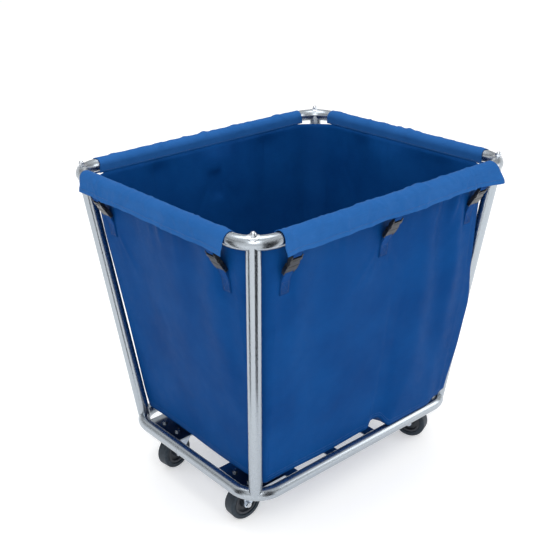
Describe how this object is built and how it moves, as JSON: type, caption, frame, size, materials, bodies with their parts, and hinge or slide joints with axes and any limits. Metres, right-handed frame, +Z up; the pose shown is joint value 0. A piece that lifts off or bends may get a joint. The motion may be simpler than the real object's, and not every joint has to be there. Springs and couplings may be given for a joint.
{
  "type": "laundry cart",
  "caption": "Tall laundry cart: a tapering bent tube frame on swivel casters, with an open cloth bag hung inside it from flaps wrapped over the top rim and closed with side buckles.",
  "frame": {"origin": "on the floor under the middle of the cart, where the wheels stand", "axes": "+X along the long sides of the rim, +Y along the short sides towards the rear, +Z up"},
  "size_m": [0.8536, 0.7276, 0.8326],
  "materials": {
    "polished_tube": "polished stainless tube with fine lengthwise lines",
    "polished_plate": "polished stainless strip and plate",
    "plain_steel": "plain machined steel, hidden inside",
    "bright_fastener": "bright plated bolts, nuts and washers",
    "zinc": "blue-white zinc plate, satin",
    "ball_steel": "bright bearing steel",
    "bag_cloth": "blue woven canvas with a dull coated face",
    "flap_cloth": "blue woven canvas, turned over the rim",
    "webbing": "ribbed blue webbing",
    "buckle_plastic": "black moulded plastic, satin",
    "hub_plastic": "dark grey moulded plastic",
    "tyre_rubber": "dark slate rubber, worn lighter on the tread"
  },
  "bodies": {
    "cart": {"top_rim": "polished_tube", "lower_ring": "polished_tube", "post_front_left": "polished_tube", "post_front_right": "polished_tube", "post_rear_left": "polished_tube", "post_rear_right": "polished_tube", "floor_slats": "polished_plate", "corner_plate_front_left": "polished_plate", "corner_plate_front_right": "polished_plate", "corner_plate_rear_left": "polished_plate", "corner_plate_rear_right": "polished_plate", "tube_spigots": "plain_steel", "post_plugs": "plain_steel", "rim_studs": "plain_steel", "saddle_washers": "bright_fastener", "dome_nuts": "bright_fastener", "plate_bolts": "bright_fastener", "plate_washers": "bright_fastener", "plate_nuts": "bright_fastener", "kingpins": "zinc", "caster_plate_front_left": "zinc", "caster_plate_front_right": "zinc", "caster_plate_rear_left": "zinc", "caster_plate_rear_right": "zinc", "race_balls": "ball_steel", "bag": "bag_cloth", "flap_front": "flap_cloth", "flap_right": "flap_cloth", "flap_rear": "flap_cloth", "flap_left": "flap_cloth", "flap_tabs": "webbing", "wall_straps": "webbing", "buckle_sockets": "buckle_plastic", "buckle_plugs": "buckle_plastic"},
    "swivel_front_left": {"fork_front_left": "zinc", "axle_bolt_front_left": "bright_fastener", "axle_nut_front_left": "bright_fastener", "axle_sleeve_front_left": "plain_steel"},
    "wheel_front_left": {"wheel_hub_front_left": "hub_plastic", "tyre_front_left": "tyre_rubber"},
    "swivel_front_right": {"fork_front_right": "zinc", "axle_bolt_front_right": "bright_fastener", "axle_nut_front_right": "bright_fastener", "axle_sleeve_front_right": "plain_steel"},
    "wheel_front_right": {"wheel_hub_front_right": "hub_plastic", "tyre_front_right": "tyre_rubber"},
    "swivel_rear_left": {"fork_rear_left": "zinc", "axle_bolt_rear_left": "bright_fastener", "axle_nut_rear_left": "bright_fastener", "axle_sleeve_rear_left": "plain_steel"},
    "wheel_rear_left": {"wheel_hub_rear_left": "hub_plastic", "tyre_rear_left": "tyre_rubber"},
    "swivel_rear_right": {"fork_rear_right": "zinc", "axle_bolt_rear_right": "bright_fastener", "axle_nut_rear_right": "bright_fastener", "axle_sleeve_rear_right": "plain_steel"},
    "wheel_rear_right": {"wheel_hub_rear_right": "hub_plastic", "tyre_rear_right": "tyre_rubber"}
  },
  "joints": [
    {"name": "swivel_front_left", "type": "hinge", "parent": "cart", "child": "swivel_front_left", "pos_m": [-0.266, -0.15, 0.1], "axis": [0, 0, 1], "continuous": true},
    {"name": "roll_front_left", "type": "hinge", "parent": "swivel_front_left", "child": "wheel_front_left", "pos_m": [-0.30195, -0.14812, 0.045], "axis": [0.0523, 0.9986, 0], "continuous": true},
    {"name": "swivel_front_right", "type": "hinge", "parent": "cart", "child": "swivel_front_right", "pos_m": [0.266, -0.15, 0.1], "axis": [0, 0, 1], "continuous": true},
    {"name": "roll_front_right", "type": "hinge", "parent": "swivel_front_right", "child": "wheel_front_right", "pos_m": [0.2789, -0.18361, 0.045], "axis": [-0.9336, -0.3584, 0], "continuous": true},
    {"name": "swivel_rear_left", "type": "hinge", "parent": "cart", "child": "swivel_rear_left", "pos_m": [-0.266, 0.15, 0.1], "axis": [0, 0, 1], "continuous": true},
    {"name": "roll_rear_left", "type": "hinge", "parent": "swivel_rear_left", "child": "wheel_rear_left", "pos_m": [-0.30165, 0.14499, 0.045], "axis": [-0.1392, 0.9903, 0], "continuous": true},
    {"name": "swivel_rear_right", "type": "hinge", "parent": "cart", "child": "swivel_rear_right", "pos_m": [0.266, 0.15, 0.1], "axis": [0, 0, 1], "continuous": true},
    {"name": "roll_rear_right", "type": "hinge", "parent": "swivel_rear_right", "child": "wheel_rear_right", "pos_m": [0.23482, 0.168, 0.045], "axis": [0.5, 0.866, 0], "continuous": true}
  ]
}
